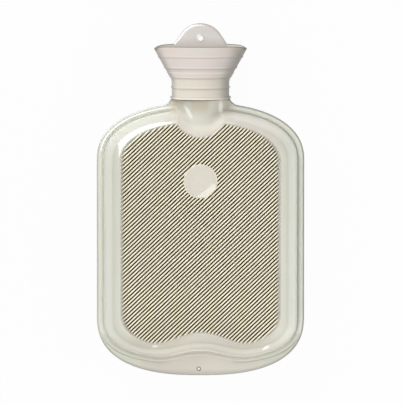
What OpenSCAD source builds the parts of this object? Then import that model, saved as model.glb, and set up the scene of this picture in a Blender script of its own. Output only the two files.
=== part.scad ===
// Soft thermoplastic hot water bottle of about two litres, lying on its back.
// It is drawn with its parting plane at z = 0 and the bottom edge of its flange at y = 0.
// laid() then sets it down on its back ribs, centred in width and length.
// The neck parts are drawn upright, with their height measured from the bottom edge of the flange.

/* [Outline] */
// Width over the flange
width = 198.5; // [190:0.5:215]
// Height of the lower corner curves
lower_curve_h = 57.5; // [50:0.5:62]
// Length of the straight sides
side_l = 149.3; // [135:0.1:165]
// Height of the shoulder curves above the straight sides
shoulder_h = 55; // [52:0.2:60]
// Squareness of the lower corners, where 2 is an ellipse
lower_power = 2.5; // [2.2:0.05:2.8]
// Squareness of the shoulders
shoulder_power = 2.3; // [2:0.05:2.5]
// Radius where the shoulders turn up into the neck
neck_fillet_r = 10; // [5:0.5:12]

/* [Flange] */
// Thickness of the flange where the two halves are joined
flange_t = 2.4; // [1.8:0.1:3.2]
// Width of the flange along the sides
flange_side_w = 6.1; // [5:0.1:8]
// Width of the flange across the shoulders
flange_top_w = 6.1; // [5:0.1:8]
// Width of the flange at the bottom, beside its wave
flange_foot_w = 15.6; // [13:0.2:20]
// Height of the wave in the middle of the bottom flange
flange_wave_h = 7.2; // [3:0.2:9]
// Width of that wave
flange_wave_w = 92; // [70:1:110]
// Distance from the chamber's wall to the crest of the flange's bead
bead_gap = 2.3; // [1.8:0.1:2.8]
// Width of the bead's outer slope
bead_w = 1.7; // [1:0.1:2]
// Height of the bead
bead_h = 0.5; // [0.3:0.1:0.8]
// Squareness of the chamber's lower corners
chamber_power = 2.8; // [2.5:0.05:3]
// Diameter of the small hole in the bottom flange
eyelet_d = 2.4; // [1.6:0.2:3]
// Height of that hole above the bottom edge
eyelet_y = 6.3; // [5:0.1:8]
// Its distance from the middle, negative to the left
eyelet_x = -1.7; // [-3:0.1:3]

/* [Chamber] */
// Depth of the bottle from front ribs to back ribs
depth = 58; // [54:1:64]
// Thickness of the blown wall
wall = 1.6; // [1.2:0.1:2]
// Distance from the side of the bottle to the ribbed panel
panel_side_gap = 23.2; // [20:0.2:26]
// Distance from the bottom of the bottle to the ribbed panel, beside its wave
panel_foot_gap = 28.8; // [25:0.2:32]
// Height of the panel's lower corners
panel_corner_h = 36; // [30:1:42]
// Squareness of the panel's lower corners
panel_lower_power = 2.6; // [2.3:0.1:2.9]
// Height of the panel's upper curve
panel_crown_h = 38; // [35:0.5:42]
// Squareness of the panel's upper curve
panel_upper_power = 2.08; // [2:0.02:2.3]
// Height of the wave in the panel's lower edge
panel_wave_h = 15; // [10:1:18]
// Width of that wave
panel_wave_w = 104; // [90:2:116]
// Radius of the round bay that the panel leaves below the neck
bay_r = 27; // [25:0.5:29]
// How far below the shoulder line the centre of that bay lies
bay_drop = 5.6; // [4:0.2:8]

/* [Ribs and badge] */
// Distance from rib to rib
rib_pitch = 2.8; // [2.6:0.1:4]
// Height of a rib
rib_h = 1.4; // [1:0.1:1.8]
// Width of a rib at its foot
rib_foot_w = 2.2; // [1.6:0.1:2.4]
// Width of the flat along a rib's crest
rib_crest_w = 0.7; // [0.5:0.1:1]
// Angle at which the ribs rise to the right
rib_angle = 43.3; // [40:0.1:47]
// Diameter of the plain round badge on the front panel
badge_d = 32; // [26:1:38]
// Height of the badge's centre above the bottom edge
badge_y = 188.6; // [170:0.2:200]
// How far the badge stands above the ribs
badge_rise = 0.3; // [0.2:0.1:0.6]

/* [Neck] */
// Outer diameter of the neck
neck_d = 45; // [42:0.5:47]
// Wall of the neck
neck_wall = 2; // [1.6:0.1:2.4]
// How far the neck reaches into the funnel
neck_in_funnel = 4; // [3:0.5:6]

/* [Funnel] */
// Width of the funnel's collar
collar_w = 54.8; // [54:0.2:60]
// Depth of the funnel's collar
collar_depth = 49.4; // [49:0.2:52]
// Height of the collar up to the start of the cone
collar_h = 18.3; // [16:0.1:20]
// Height of the cone from the collar to the rim
cone_h = 32.4; // [28:0.2:36]
// Width of the rim
rim_w = 89.2; // [80:0.2:94]
// How far the sides of the cone bulge halfway up
cone_bulge = 1; // [0:0.1:2]
// How much lower the rim lies at its two ends
rim_drop = 2.8; // [0:0.1:4]
// Wall of the funnel
funnel_wall = 1.8; // [1.4:0.1:2.2]
// Thickness of the funnel's floor
funnel_floor_t = 2.6; // [2:0.1:3.2]
// Height of the collar's foot above the shoulders
collar_rise = 4.3; // [4:0.1:8]
// How far the raised bands stand proud
band_h = 0.5; // [0.3:0.05:0.7]
// How far the ring round the collar stands proud
ring_h = 0.6; // [0.4:0.1:1.2]
// How far the lip at the collar's foot stands proud
lip_h = 1.5; // [0.8:0.1:1.8]

/* [Thread] */
// Inner radius of the socket's thread
thread_r = 14.4; // [13:0.1:15]
// Depth of the thread
thread_depth = 1.6; // [1.2:0.1:1.8]
// Rise of the thread in one turn
thread_pitch = 5; // [4.5:0.5:6]
// Turns of thread on the stopper
plug_turns = 2.2; // [1.5:0.1:2.4]
// Width of a thread ridge at its crest
thread_crest_w = 1.3; // [1:0.1:1.5]
// Width of a thread ridge at its foot
thread_foot_w = 2.8; // [2.4:0.1:3]
// Clearance round the plug and over the thread
thread_gap = 0.4; // [0.3:0.05:0.5]

/* [Socket and washer] */
// Clearance of pieces that are fitted together
fit_gap = 0.2; // [0.1:0.05:0.3]
// Length of the socket's sleeve inside the neck
socket_sleeve_l = 22; // [20:1:26]
// Thickness of the socket's top flange
socket_flange_t = 4; // [3:0.2:5]
// Width of the washer's ring
washer_w = 3.8; // [3:0.1:4.2]
// Thickness of the washer
washer_t = 2.4; // [1.8:0.1:3]

/* [Stopper] */
// Thickness of the stopper's round flange
head_t = 3.6; // [3:0.2:5]
// Length of the plug below the washer
plug_l = 19; // [16:0.5:21]
// Wall of the hollow plug
plug_wall = 2.4; // [2:0.1:3]
// Distance from the rim of the funnel to the top of the finger tab
tab_rise = 21.1; // [18:0.1:26]
// Radius of the tab's round top
tab_r = 22.7; // [20:0.1:24]
// Width of the tab at its shoulders
tab_w = 51; // [46:0.5:52]
// Width of the tab where it stands on its flange
tab_foot_w = 32; // [28:1:36]
// Thickness of the tab
tab_t = 4.6; // [4:0.1:6]
// Height of the tab's shoulders above the rim
tab_shoulder_y = 1.4; // [0.5:0.1:3]
// Height of the slope from the tab's shoulders up to its round top
tab_slope_h = 4.5; // [3:0.5:6]
// Height of the straight edge below the tab's shoulders
tab_edge_h = 3; // [2:0.5:5]
// Radius of the tab's rounded corners
tab_round_r = 1.5; // [1:0.1:2]
// Diameter of the hanging hole
hole_d = 4.8; // [4:0.1:6]
// Distance from the top of the tab to the middle of the hanging hole
hole_drop = 14.4; // [10:0.1:16]
// Width of the raised ring round the hanging hole
eye_w = 1.4; // [1:0.1:2]
// How far that ring stands proud
eye_h = 0.3; // [0.2:0.1:0.5]

/* [Hidden] */

// Overlap of joined solids, so that none only touches its neighbour
eps = 0.3;
// Points along each half of a body outline, and round a funnel ring
half_steps = 38;
ring_steps = 44;
// Steps from the flange up to the panel, outside and inside
outer_steps = 6;
inner_steps = 4;
// Angle on the bulge's quarter ellipse at which the wall leaves the flange
bulge_start = 15;
// Facets in one turn of thread, and the angle over which a ridge runs out
turn_steps = 36;
run_out = 30;
// Share of a ridge's depth that is left at its very ends
run_out_share = 0.05;
// How far the stopper's thread starts below the socket's top, in turns
thread_lead = 0.75;
// Clearance round the stopper's flange, and the rounding between the funnel's floor and wall
head_gap = 1;
floor_round = 1;
// Shortest rib worth moulding, and the length over which a rib's end slopes down
rib_min_l = 4;
rib_ramp = 1.2;
// Widening of the badge at its foot
badge_taper = 1;
// Squareness of the funnel's oval
oval_power = 2.2;
// How tightly the rim drops at its ends, and how late that starts up the cone
rim_drop_power = 10;
rim_drop_onset = 3;
// Slope length of a raised band's edge
band_edge = 0.4;

// Levels up the bottle
lower_y = lower_curve_h;
upper_y = lower_y + side_l;
shoulder_y = upper_y + shoulder_h;
collar_y = shoulder_y + collar_rise;
neck_top = collar_y + neck_in_funnel;
cone_y = collar_y + collar_h;
rim_y = cone_y + cone_h;
tab_top = rim_y + tab_rise;
length = tab_top;

// Panel and chamber
panel_a = width / 2 - panel_side_gap;
panel_lower_y = panel_foot_gap + panel_corner_h;
panel_mid_y = (panel_foot_gap + upper_y + panel_crown_h) / 2;
chamber_a = width / 2 - flange_side_w;
chamber_lower_b = lower_curve_h - flange_foot_w;
chamber_upper_b = shoulder_h - flange_top_w;
face_z = depth / 2 - rib_h;
bay_y = shoulder_y - bay_drop;

// Neck, socket and funnel
neck_r = neck_d / 2;
neck_bore_r = neck_r - neck_wall;
socket_top = neck_top + fit_gap + socket_flange_t;
socket_bottom = neck_top - socket_sleeve_l;
floor_y = socket_top + fit_gap;
floor_top = floor_y + funnel_floor_t;
thread_root_r = thread_r + thread_depth;

// Stopper and washer
plug_r = thread_r - thread_gap;
plug_crest_r = thread_root_r - thread_gap;
washer_r = plug_r + fit_gap + washer_w;
washer_y = socket_top + fit_gap;
head_y = washer_y + washer_t + fit_gap;
head_r = washer_r + fit_gap;
plug_bottom = washer_y - plug_l;
plug_thread_top = socket_top - thread_pitch * thread_lead;
plug_thread_y = plug_thread_top - plug_turns * thread_pitch;
turns_below = floor((plug_thread_y - socket_bottom - thread_foot_w) / thread_pitch + 0.5);
socket_thread_y = plug_thread_y + thread_pitch * (0.5 - turns_below);
socket_turns = (socket_top - thread_foot_w - socket_thread_y) / thread_pitch;
mouth_r = head_r + head_gap;

// Raised bands of the funnel: bottom, top and height, measured from the collar's foot
bands = [
    [0, 2.3, lip_h],
    [8.5, 10.7, ring_h],
    [collar_h + 0.8, collar_h + 5.4, band_h],
    [collar_h + 9.4, collar_h + 11.6, band_h],
    [collar_h + 20.6, collar_h + 22.6, band_h]
];

// Height of the wave at x, for a wave w wide and h high in the middle
function wave(x, w, h) = abs(x) < w / 2 ? h * pow(cos(180 * x / w), 2) : 0;

// Height of a rounded corner curve at x, b high, a wide and squared by power
function curve_h(x, a, b, power) = b * pow(max(0, 1 - pow(min(1, abs(x) / a), power)), 1 / power);

// Outline of the chamber at the flange, inset by the given wall
function chamber_outline(inset) =
    let (a = chamber_a - inset)
    concat(
        [for (i = [0 : half_steps])
            let (x = a * cos(180 * i / half_steps))
            [x, upper_y + curve_h(x, a, chamber_upper_b - inset, shoulder_power)]],
        [for (i = [0 : half_steps])
            let (x = -a * cos(180 * i / half_steps))
            [x, lower_y - curve_h(x, a, chamber_lower_b - inset, chamber_power)
                + wave(x, flange_wave_w, flange_wave_h)]]);

// Height of the panel's upper edge at x, cut out round the neck
function panel_top(x, inset) =
    let (crown = upper_y + curve_h(x, panel_a - inset, panel_crown_h - inset, panel_upper_power),
         r = bay_r + inset)
    abs(x) < r ? min(crown, bay_y - sqrt(r * r - x * x)) : crown;

// Outline of the ribbed panel, inset by the given distance
function panel_outline(inset) =
    let (a = panel_a - inset)
    concat(
        [for (i = [0 : half_steps])
            let (x = a * cos(180 * i / half_steps))
            [x, panel_top(x, inset)]],
        [for (i = [0 : half_steps])
            let (x = -a * cos(180 * i / half_steps))
            [x, panel_lower_y - curve_h(x, a, panel_corner_h - inset, panel_lower_power)
                + wave(x, panel_wave_w, panel_wave_h)]]);

// Rings that bulge from the flange, at height z0, up to the panel, at height z1
function bulge_rings(flange_line, panel_line, z0, z1, steps) = [
    for (k = [0 : steps])
        let (a = bulge_start + (90 - bulge_start) * k / steps,
             s = 1 - cos(a) / cos(bulge_start),
             z = z0 + (z1 - z0) * (sin(a) - sin(bulge_start)) / (1 - sin(bulge_start)))
        [for (i = [0 : len(flange_line) - 1])
            let (p = flange_line[i] * (1 - s) + panel_line[i] * s)
            [p[0], p[1], z]]];

// The same rings mirrored to the back, in reverse order
function mirrored(rings) = [
    for (k = [len(rings) - 1 : -1 : 0]) [for (p = rings[k]) [p[0], p[1], -p[2]]]];

// Outline of the chamber grown by the given distance, at height z
function chamber_ring(grown, z) = [for (p = chamber_outline(-grown)) [p[0], p[1], z]];

// Rings of the bottle's outside, back to front: the bead on its flange and the bulging wall
function outside_rings() =
    let (z0 = flange_t / 2,
         front = concat(
             [chamber_ring(bead_gap + bead_w, z0), chamber_ring(bead_gap, z0 + bead_h)],
             bulge_rings(chamber_outline(0), panel_outline(0), z0, face_z, outer_steps)))
    concat(mirrored(front), front);

// Rings of the hollow inside, back to front
function inside_rings() =
    let (front = bulge_rings(chamber_outline(wall), panel_outline(wall), 0, face_z - wall, inner_steps))
    concat(mirrored(front), [for (k = [1 : len(front) - 1]) front[k]]);

// Side faces between ring k and ring m of n points each
function band_faces(k, m, n) = [
    for (i = [0 : n - 1], half = [0, 1])
        let (j = (i + 1) % n)
        half == 0 ? [k * n + i, m * n + i, m * n + j] : [k * n + i, m * n + j, k * n + j]];

// Solid through a stack of rings, each counterclockwise as seen from the next one
module loft(rings) {
    n = len(rings[0]);
    last = len(rings) - 1;
    polyhedron(
        points = [for (r = rings) each r],
        faces = concat(
            [[for (i = [0 : n - 1]) i]],
            [for (k = [0 : last - 1]) each band_faces(k, k + 1, n)],
            [[for (i = [n - 1 : -1 : 0]) last * n + i]]));
}

// Solid through a closed loop of rings, such as an open bowl with a hole in its floor
module loft_loop(rings) {
    n = len(rings[0]);
    count = len(rings);
    polyhedron(
        points = [for (r = rings) each r],
        faces = [for (k = [0 : count - 1]) each band_faces(k, (k + 1) % count, n)]);
}

// Numbers in rising order
function sorted(v) = len(v) < 2 ? v :
    let (pivot = v[floor(len(v) / 2)])
    concat(
        sorted([for (x = v) if (x < pivot) x]),
        [for (x = v) if (x == pivot) x],
        sorted([for (x = v) if (x > pivot) x]));

// Places along a rib line, at distance c from the panel's centre, where it crosses the outline
function crossings(c, outline) =
    let (dir = [cos(rib_angle), sin(rib_angle)],
         across = [-sin(rib_angle), cos(rib_angle)],
         centre = [0, panel_mid_y],
         n = len(outline))
    sorted([
        for (i = [0 : n - 1])
            let (p = outline[i] - centre,
                 q = outline[(i + 1) % n] - centre,
                 dp = p * across - c,
                 dq = q * across - c)
            if (dp * dq < 0) (p + (q - p) * dp / (dp - dq)) * dir]);

// Places the bottle, drawn on its parting plane, on its back ribs
module laid() {
    translate([0, -length / 2, depth / 2]) children();
}

// Turns neck parts, drawn upright, to lie along the bottle
module along_neck() {
    laid() rotate([-90, 0, 0]) children();
}

// One rib of length l along x, with ends that slope down
module rib(l) {
    hull() {
        translate([0, -rib_foot_w / 2, -eps]) cube([l, rib_foot_w, eps]);
        translate([rib_ramp, -rib_crest_w / 2, rib_h - eps])
            cube([l - 2 * rib_ramp, rib_crest_w, eps]);
    }
}

// All the ribs of one panel, on the plane z = 0
module ribs() {
    outline = panel_outline(0);
    reach = ceil(norm([panel_a, panel_mid_y]) / rib_pitch);
    translate([0, panel_mid_y, 0])
        rotate([0, 0, rib_angle])
            for (k = [-reach : reach]) {
                t = crossings(k * rib_pitch, outline);
                for (m = [0 : 2 : len(t) - 2])
                    if (t[m + 1] - t[m] > rib_min_l)
                        translate([t[m], k * rib_pitch, 0]) rib(t[m + 1] - t[m]);
            }
}

// Flat outline of the flange, running up into the sides of the neck
module flange_outline() {
    a = width / 2;
    offset(r = -neck_fillet_r) offset(delta = neck_fillet_r) {
        polygon(concat(
            [for (i = [0 : half_steps])
                let (x = a * cos(180 * i / half_steps))
                [x, upper_y + curve_h(x, a, shoulder_h, shoulder_power)]],
            [for (i = [0 : half_steps])
                let (x = -a * cos(180 * i / half_steps))
                [x, lower_y - curve_h(x, a, lower_curve_h, lower_power)]]));
        translate([-collar_w / 2, upper_y])
            square([collar_w, collar_y - fit_gap - upper_y]);
    }
}

// The blown bottle: two dished halves, their flange and the neck, in one piece
module bottle_body() {
    color([0.84, 0.84, 0.78])
        laid() {
            difference() {
                union() {
                    loft(outside_rings());
                    translate([0, 0, -flange_t / 2])
                        linear_extrude(flange_t) flange_outline();
                    rotate([-90, 0, 0])
                        translate([0, 0, bay_y - bay_r])
                            cylinder(h = neck_top - bay_y + bay_r, r = neck_r, $fn = 64);
                }
                loft(inside_rings());
                rotate([-90, 0, 0])
                    translate([0, 0, bay_y - bay_r - eps])
                        cylinder(h = neck_top - bay_y + bay_r + 2 * eps, r = neck_bore_r, $fn = 64);
                translate([eyelet_x, eyelet_y, -flange_t])
                    cylinder(h = 2 * flange_t, d = eyelet_d, $fn = 20);
            }
            translate([0, 0, face_z]) ribs();
            rotate([0, 180, 0]) translate([0, 0, face_z]) ribs();
            translate([0, badge_y, face_z - eps])
                cylinder(h = rib_h + eps + badge_rise, d1 = badge_d + badge_taper, d2 = badge_d, $fn = 48);
        }
}

// Rings of a helical ridge from its foot radius to its crest radius
function ridge_rings(foot_r, crest_r, y, turns) = [
    for (k = [0 : round(turns * turn_steps)])
        let (a = 360 * k / turn_steps,
             fade = min(1, a / run_out, (360 * turns - a) / run_out),
             crest = foot_r + (crest_r - foot_r) * max(run_out_share, fade),
             h = y + thread_pitch * a / 360,
             w = thread_foot_w / 2,
             c = thread_crest_w / 2,
             inner = min(foot_r, crest),
             outer = max(foot_r, crest),
             wi = foot_r < crest_r ? w : c,
             wo = foot_r < crest_r ? c : w)
        [for (p = [[inner, -wi], [inner, wi], [outer, wo], [outer, -wo]])
            [p[0] * cos(a), p[0] * sin(a), h + p[1]]]];

// The rigid insert in the neck that carries the female thread
module thread_socket() {
    color([0.80, 0.77, 0.70])
        along_neck() {
            difference() {
                union() {
                    translate([0, 0, socket_bottom])
                        cylinder(h = socket_top - socket_bottom, r = neck_bore_r - fit_gap, $fn = 96);
                    translate([0, 0, neck_top + fit_gap])
                        cylinder(h = socket_flange_t, r = neck_r - fit_gap, $fn = 96);
                }
                translate([0, 0, socket_bottom - eps])
                    cylinder(h = socket_top - socket_bottom + 2 * eps, r = thread_root_r, $fn = 96);
            }
            loft(ridge_rings(thread_root_r + eps, thread_r, socket_thread_y, socket_turns));
        }
}

// One oval ring of the funnel at height y, lower at its two ends by drop
function oval(y, a, b, drop = 0) = [
    for (i = [0 : ring_steps - 1])
        let (t = 360 * i / ring_steps,
             c = cos(t),
             s = sin(t))
        [a * sign(c) * pow(abs(c), 2 / oval_power),
         b * sign(s) * pow(abs(s), 2 / oval_power),
         y - drop * pow(abs(c), rim_drop_power)]];

// Share of the cone's height at y, 0 along the collar and 1 at the rim
function cone_share(y) = max(0, min(1, (y - cone_y) / cone_h));

// Ring of the funnel's wall at y, standing proud by the given height
function wall_ring(y, proud) =
    let (s = cone_share(y))
    oval(y,
        collar_w / 2 + (rim_w - collar_w) / 2 * s + cone_bulge * 4 * s * (1 - s) + proud,
        collar_depth / 2 + (depth - collar_depth) / 2 * s + proud * (1 - s),
        rim_drop * pow(s, rim_drop_onset));

// Round ring of radius r at height y
function round_ring(y, r) = [
    for (i = [0 : ring_steps - 1])
        let (t = 360 * i / ring_steps)
        [r * cos(t), r * sin(t), y]];

// The filling funnel, moulded over the top of the neck
module filler_funnel() {
    skirt_r = neck_r + fit_gap;
    outside = [
        for (b = bands)
            each [
                wall_ring(collar_y + b[0], 0),
                wall_ring(collar_y + b[0] + band_edge, b[2]),
                wall_ring(collar_y + b[1] - band_edge, b[2]),
                wall_ring(collar_y + b[1], 0)]];
    inside = [
        for (s = [1, 0.5, 0])
            wall_ring(cone_y + cone_h * s, -funnel_wall)];
    color([0.87, 0.82, 0.78])
        along_neck()
            loft_loop(concat(
                [round_ring(collar_y, skirt_r)],
                outside,
                [wall_ring(rim_y, 0)],
                inside,
                [wall_ring(floor_top + floor_round, -funnel_wall),
                 wall_ring(floor_top, -funnel_wall - floor_round),
                 round_ring(floor_top, mouth_r),
                 round_ring(floor_y, mouth_r),
                 round_ring(floor_y, skirt_r)]));
}

// The rubber washer between the stopper and its socket
module stopper_washer() {
    color([0.55, 0.53, 0.50])
        along_neck()
            translate([0, 0, washer_y])
                difference() {
                    cylinder(h = washer_t, r = washer_r, $fn = 96);
                    translate([0, 0, -eps])
                        cylinder(h = washer_t + 2 * eps, r = plug_r + fit_gap, $fn = 96);
                }
}

// Outline of the finger tab: a round top on sloping shoulders, narrowing to its foot
module tab_outline() {
    shoulder = rim_y + tab_shoulder_y;
    foot = head_y + head_t / 2;
    offset(r = tab_round_r) offset(delta = -tab_round_r)
        offset(r = -tab_round_r) offset(delta = tab_round_r) {
            translate([0, tab_top - tab_r]) circle(r = tab_r, $fn = 96);
            polygon([
                [-tab_r, shoulder + tab_slope_h], [-tab_w / 2, shoulder], [-tab_w / 2, shoulder - tab_edge_h],
                [-tab_foot_w / 2, foot], [tab_foot_w / 2, foot],
                [tab_w / 2, shoulder - tab_edge_h], [tab_w / 2, shoulder], [tab_r, shoulder + tab_slope_h]]);
        }
}

// The stopper: finger tab with its hanging hole, round flange and threaded hollow plug
module stopper() {
    hole_y = tab_top - hole_drop;
    color([0.82, 0.78, 0.77])
        along_neck()
            difference() {
                union() {
                    rotate([90, 0, 0])
                        translate([0, 0, -tab_t / 2]) linear_extrude(tab_t) tab_outline();
                    translate([0, 0, hole_y])
                        rotate([90, 0, 0])
                            cylinder(h = tab_t + 2 * eye_h, r = hole_d / 2 + eye_w, center = true, $fn = 64);
                    translate([0, 0, head_y]) cylinder(h = head_t, r = head_r, $fn = 96);
                    translate([0, 0, plug_bottom])
                        cylinder(h = head_y + eps - plug_bottom, r = plug_r, $fn = 96);
                    loft(ridge_rings(plug_r - eps, plug_crest_r, plug_thread_y, plug_turns));
                }
                translate([0, 0, hole_y])
                    rotate([90, 0, 0])
                        cylinder(h = 3 * tab_t, d = hole_d, center = true, $fn = 64);
                translate([0, 0, plug_bottom - eps])
                    cylinder(h = plug_l - plug_wall, r = plug_r - plug_wall, $fn = 96);
            }
}

bottle_body();
thread_socket();
filler_funnel();
stopper_washer();
stopper();
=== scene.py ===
"""Looks of a soft plastic hot water bottle that lies on its back.

Shapes are worked out in millimetres in the bottle's own measures: x across, y up from the bottom edge
of the flange and z out of the front from the plane where the two halves join. place() turns them into
metres in the frame of the CAD. Names that end in _Y are heights along the bottle, _H heights of a
form, _A and _B half widths, _R radii, _T thicknesses and _W widths.
"""
import math

import bmesh
import bpy
import numpy as np
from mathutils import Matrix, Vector


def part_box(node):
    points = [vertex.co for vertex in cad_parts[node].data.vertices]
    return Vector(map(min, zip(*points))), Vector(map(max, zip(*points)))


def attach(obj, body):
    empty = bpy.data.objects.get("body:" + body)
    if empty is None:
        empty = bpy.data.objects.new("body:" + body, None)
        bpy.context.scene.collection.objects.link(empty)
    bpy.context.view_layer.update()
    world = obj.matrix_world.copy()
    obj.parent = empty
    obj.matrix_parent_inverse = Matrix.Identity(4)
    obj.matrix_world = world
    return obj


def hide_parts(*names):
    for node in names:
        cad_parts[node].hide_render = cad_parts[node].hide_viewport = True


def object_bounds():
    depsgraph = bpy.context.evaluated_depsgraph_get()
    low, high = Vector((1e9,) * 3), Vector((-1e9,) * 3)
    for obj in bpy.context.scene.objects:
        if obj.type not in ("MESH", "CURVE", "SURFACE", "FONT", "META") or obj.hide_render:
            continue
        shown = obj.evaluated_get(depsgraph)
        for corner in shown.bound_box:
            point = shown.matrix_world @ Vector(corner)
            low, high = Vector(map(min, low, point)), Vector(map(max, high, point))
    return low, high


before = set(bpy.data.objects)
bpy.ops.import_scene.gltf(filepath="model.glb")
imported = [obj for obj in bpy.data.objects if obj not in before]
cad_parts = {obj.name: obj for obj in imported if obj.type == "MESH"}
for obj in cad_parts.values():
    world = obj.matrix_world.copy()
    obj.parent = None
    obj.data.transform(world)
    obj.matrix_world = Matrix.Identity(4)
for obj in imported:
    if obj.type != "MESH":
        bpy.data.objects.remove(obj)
cad_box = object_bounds()

# Overall sizes, from the frame
MM = 0.001
LENGTH = (cad_box[1].y - cad_box[0].y) / MM
WIDTH = (cad_box[1].x - cad_box[0].x) / MM
FUNNEL_LO, FUNNEL_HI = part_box("filler_funnel")
HALF_DEPTH = (FUNNEL_HI.z - FUNNEL_LO.z) / MM / 2

# Outline of the flange
LOWER_Y = 57.5
UPPER_Y = 206.8
SHOULDER_H = 55.0
LOWER_POWER = 2.5
SHOULDER_POWER = 2.3
NECK_FILLET_R = 10.0
NECK_WEB_X = 27.5
FLANGE_TOP_Y = 265.9

# Flange and chamber
FLANGE_T = 2.4
CHAMBER_A = WIDTH / 2 - 6.1
CHAMBER_UPPER_H = 48.9
CHAMBER_LOWER_H = 41.9
CHAMBER_POWER = 2.8
FLANGE_WAVE = (92.0, 7.2)
BEAD_W = 3.4
BEAD_H = 0.5
BEAD_IN = 2.3
FOOT_LINE_OUT = 4.6
EYELET = (-1.7, 6.3, 1.2)
WALL = 1.6
BULGE_START = math.radians(15)

# Ribbed panel. SINK is how deep the feet of its ribs and badge go into it
RIB_H = 1.4
FACE_Z = HALF_DEPTH - RIB_H
PANEL_A = WIDTH / 2 - 23.2
PANEL_LOWER_Y = 64.8
PANEL_LOWER_H = 36.0
PANEL_LOWER_POWER = 2.6
PANEL_UPPER_H = 38.0
PANEL_UPPER_POWER = 2.2
PANEL_WAVE = (104.0, 15.0)
PANEL_MID_Y = 136.8
BAY_R = 25.0
BAY_Y = 256.2
RIB_PITCH = 2.8
RIB_ANGLE = math.radians(43.3)
RIB_FOOT_W = 2.2
RIB_MIN_L = 4.0
SINK = 0.3
BADGE_R = 16.0
BADGE_Y = 188.6
BADGE_RISE = 0.3

# Neck
NECK_R = 22.5
NECK_BORE_R = 20.5
NECK_TOP = 270.1
NECK_BLEND = 7.0
NECK_FOOT_R = 3.5
NECK_ZONE = 30.0

# Darker patch of the neck: half width, depth, height of its top and roundness
NECK_SHADE = (21.5, 21.0, 262.0, 2.6)

# Painted highlights: small pale glints on the neck and above the foot's wave, each a centre, half
# lengths, turn and strength
PAINTED_GLINTS = [
    ((-11.6, 254.3), (6.6, 1.9), math.radians(-59), 1.0),
    ((19.3, 258.4), (6.2, 2.3), math.radians(90), 1.0),
    ((-43.5, 30.6), (3.0, 1.1), math.radians(8), 0.9),
    ((62.5, 28.8), (4.0, 1.5), math.radians(35), 0.9)]

# Funnel, with each raised band's lower and upper height above the collar's foot and its rise
COLLAR_Y = 266.1
COLLAR_H = 18.3
CONE_H = 32.4
COLLAR_A = 27.4
COLLAR_B = 24.7
RIM_A = 44.6
CONE_BULGE = 1.0
RIM_DROP = 2.8
RIM_DROP_POWER = 10
OVAL_POWER = 2.2
FUNNEL_WALL = 1.8
FLOOR_Y = 274.5
FLOOR_T = 2.6
MOUTH_R = 19.2
FUNNEL_BANDS = [
    (0.0, 2.3, 1.5), (10.0, 12.0, 0.6), (20.0, 25.4, 0.5), (28.8, 30.8, 0.5), (39.6, 41.5, 0.5)]
BAND_EDGE = 0.35
CONE_Y = COLLAR_Y + COLLAR_H
RIM_Y = CONE_Y + CONE_H

# Stopper
TAB_TOP = LENGTH
TAB_R = 22.7
TAB_T = 4.6
TAB_EDGE_R = 1.7
TAB_CROWN = 3.2
TAB_CROWN_DROP = (17.0, 10.0)
TAB_SHOULDER_A = 25.5
TAB_SHOULDER_DROP = 19.7
TAB_SHADE_DROP = 18.0
HEAD_Y = 277.1
HEAD_T = 3.6
HEAD_R = 18.2
PLUG_R = 14.0
PLUG_WALL = 2.4
PLUG_BOTTOM = 255.5
HOLE_Y = TAB_TOP - 14.4
HOLE_R = 2.4
THREAD_PITCH = 5.0
THREAD_CREST_R = 15.6
THREAD_TOP = 270.55
THREAD_TURNS = 2.2
THREAD_FOOT_W = 2.8
THREAD_CREST_W = 1.3

# Photograph's framing: the side of its square, in pixels, and the size of a pixel at the flange
PHOTO_PX = 403
PX = 0.957
BOTTLE_PX = (200.5, 199.6)
SENSOR_MM = 36
CAMERA_DISTANCE = 6.0
CAMERA_TILT = math.radians(4.5)


def place(points):
    """Points in the bottle's own millimetres as points in the frame, in metres."""
    p = np.asarray(points, float)
    return np.column_stack([p[:, 0], p[:, 1] - LENGTH / 2, p[:, 2] + HALF_DEPTH]) * MM


def unplace(points):
    """The other way round: metres in the frame to the bottle's own millimetres."""
    p = np.asarray(points, float) / MM
    return np.column_stack([p[:, 0], p[:, 1] + LENGTH / 2, p[:, 2] - HALF_DEPTH])


def own_points(obj):
    """A mesh object's points in the bottle's own millimetres."""
    co = np.empty(len(obj.data.vertices) * 3)
    obj.data.vertices.foreach_get("co", co)
    return unplace(co.reshape(-1, 3))


def upright(points):
    """Points drawn round an upright neck axis, (x, depth, height), turned to lie along the bottle."""
    p = np.asarray(points, float)
    return np.column_stack([p[:, 0], p[:, 2], -p[:, 1]])


def make_object(name, points, faces):
    """A mesh object from points in the bottle's own millimetres."""
    mesh = bpy.data.meshes.new(name)
    mesh.from_pydata([tuple(p) for p in place(points)], [], [tuple(int(i) for i in f) for f in faces])
    mesh.validate()
    obj = bpy.data.objects.new(name, mesh)
    bpy.context.scene.collection.objects.link(obj)
    return obj


def weld(obj, distance=1e-6):
    """Merges points that coincide, and turns every face outwards."""
    work = bmesh.new()
    work.from_mesh(obj.data)
    bmesh.ops.remove_doubles(work, verts=work.verts, dist=distance)
    bmesh.ops.recalc_face_normals(work, faces=work.faces)
    work.to_mesh(obj.data)
    work.free()
    return obj


def combine(obj, other, operation):
    """Joins other to obj, or cuts it out, and deletes it."""
    step = obj.modifiers.new("combine", "BOOLEAN")
    step.operation = operation
    step.solver = "MANIFOLD"
    step.object = other
    bpy.context.view_layer.objects.active = obj
    bpy.ops.object.modifier_apply(modifier=step.name)
    bpy.data.objects.remove(other)
    return obj


def smooth(obj, degrees=35):
    """Smooth shading with hard edges where faces meet at more than the given angle."""
    mesh = obj.data
    mesh.polygons.foreach_set("use_smooth", [True] * len(mesh.polygons))
    mesh.set_sharp_from_angle(angle=math.radians(degrees))
    return obj


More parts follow.
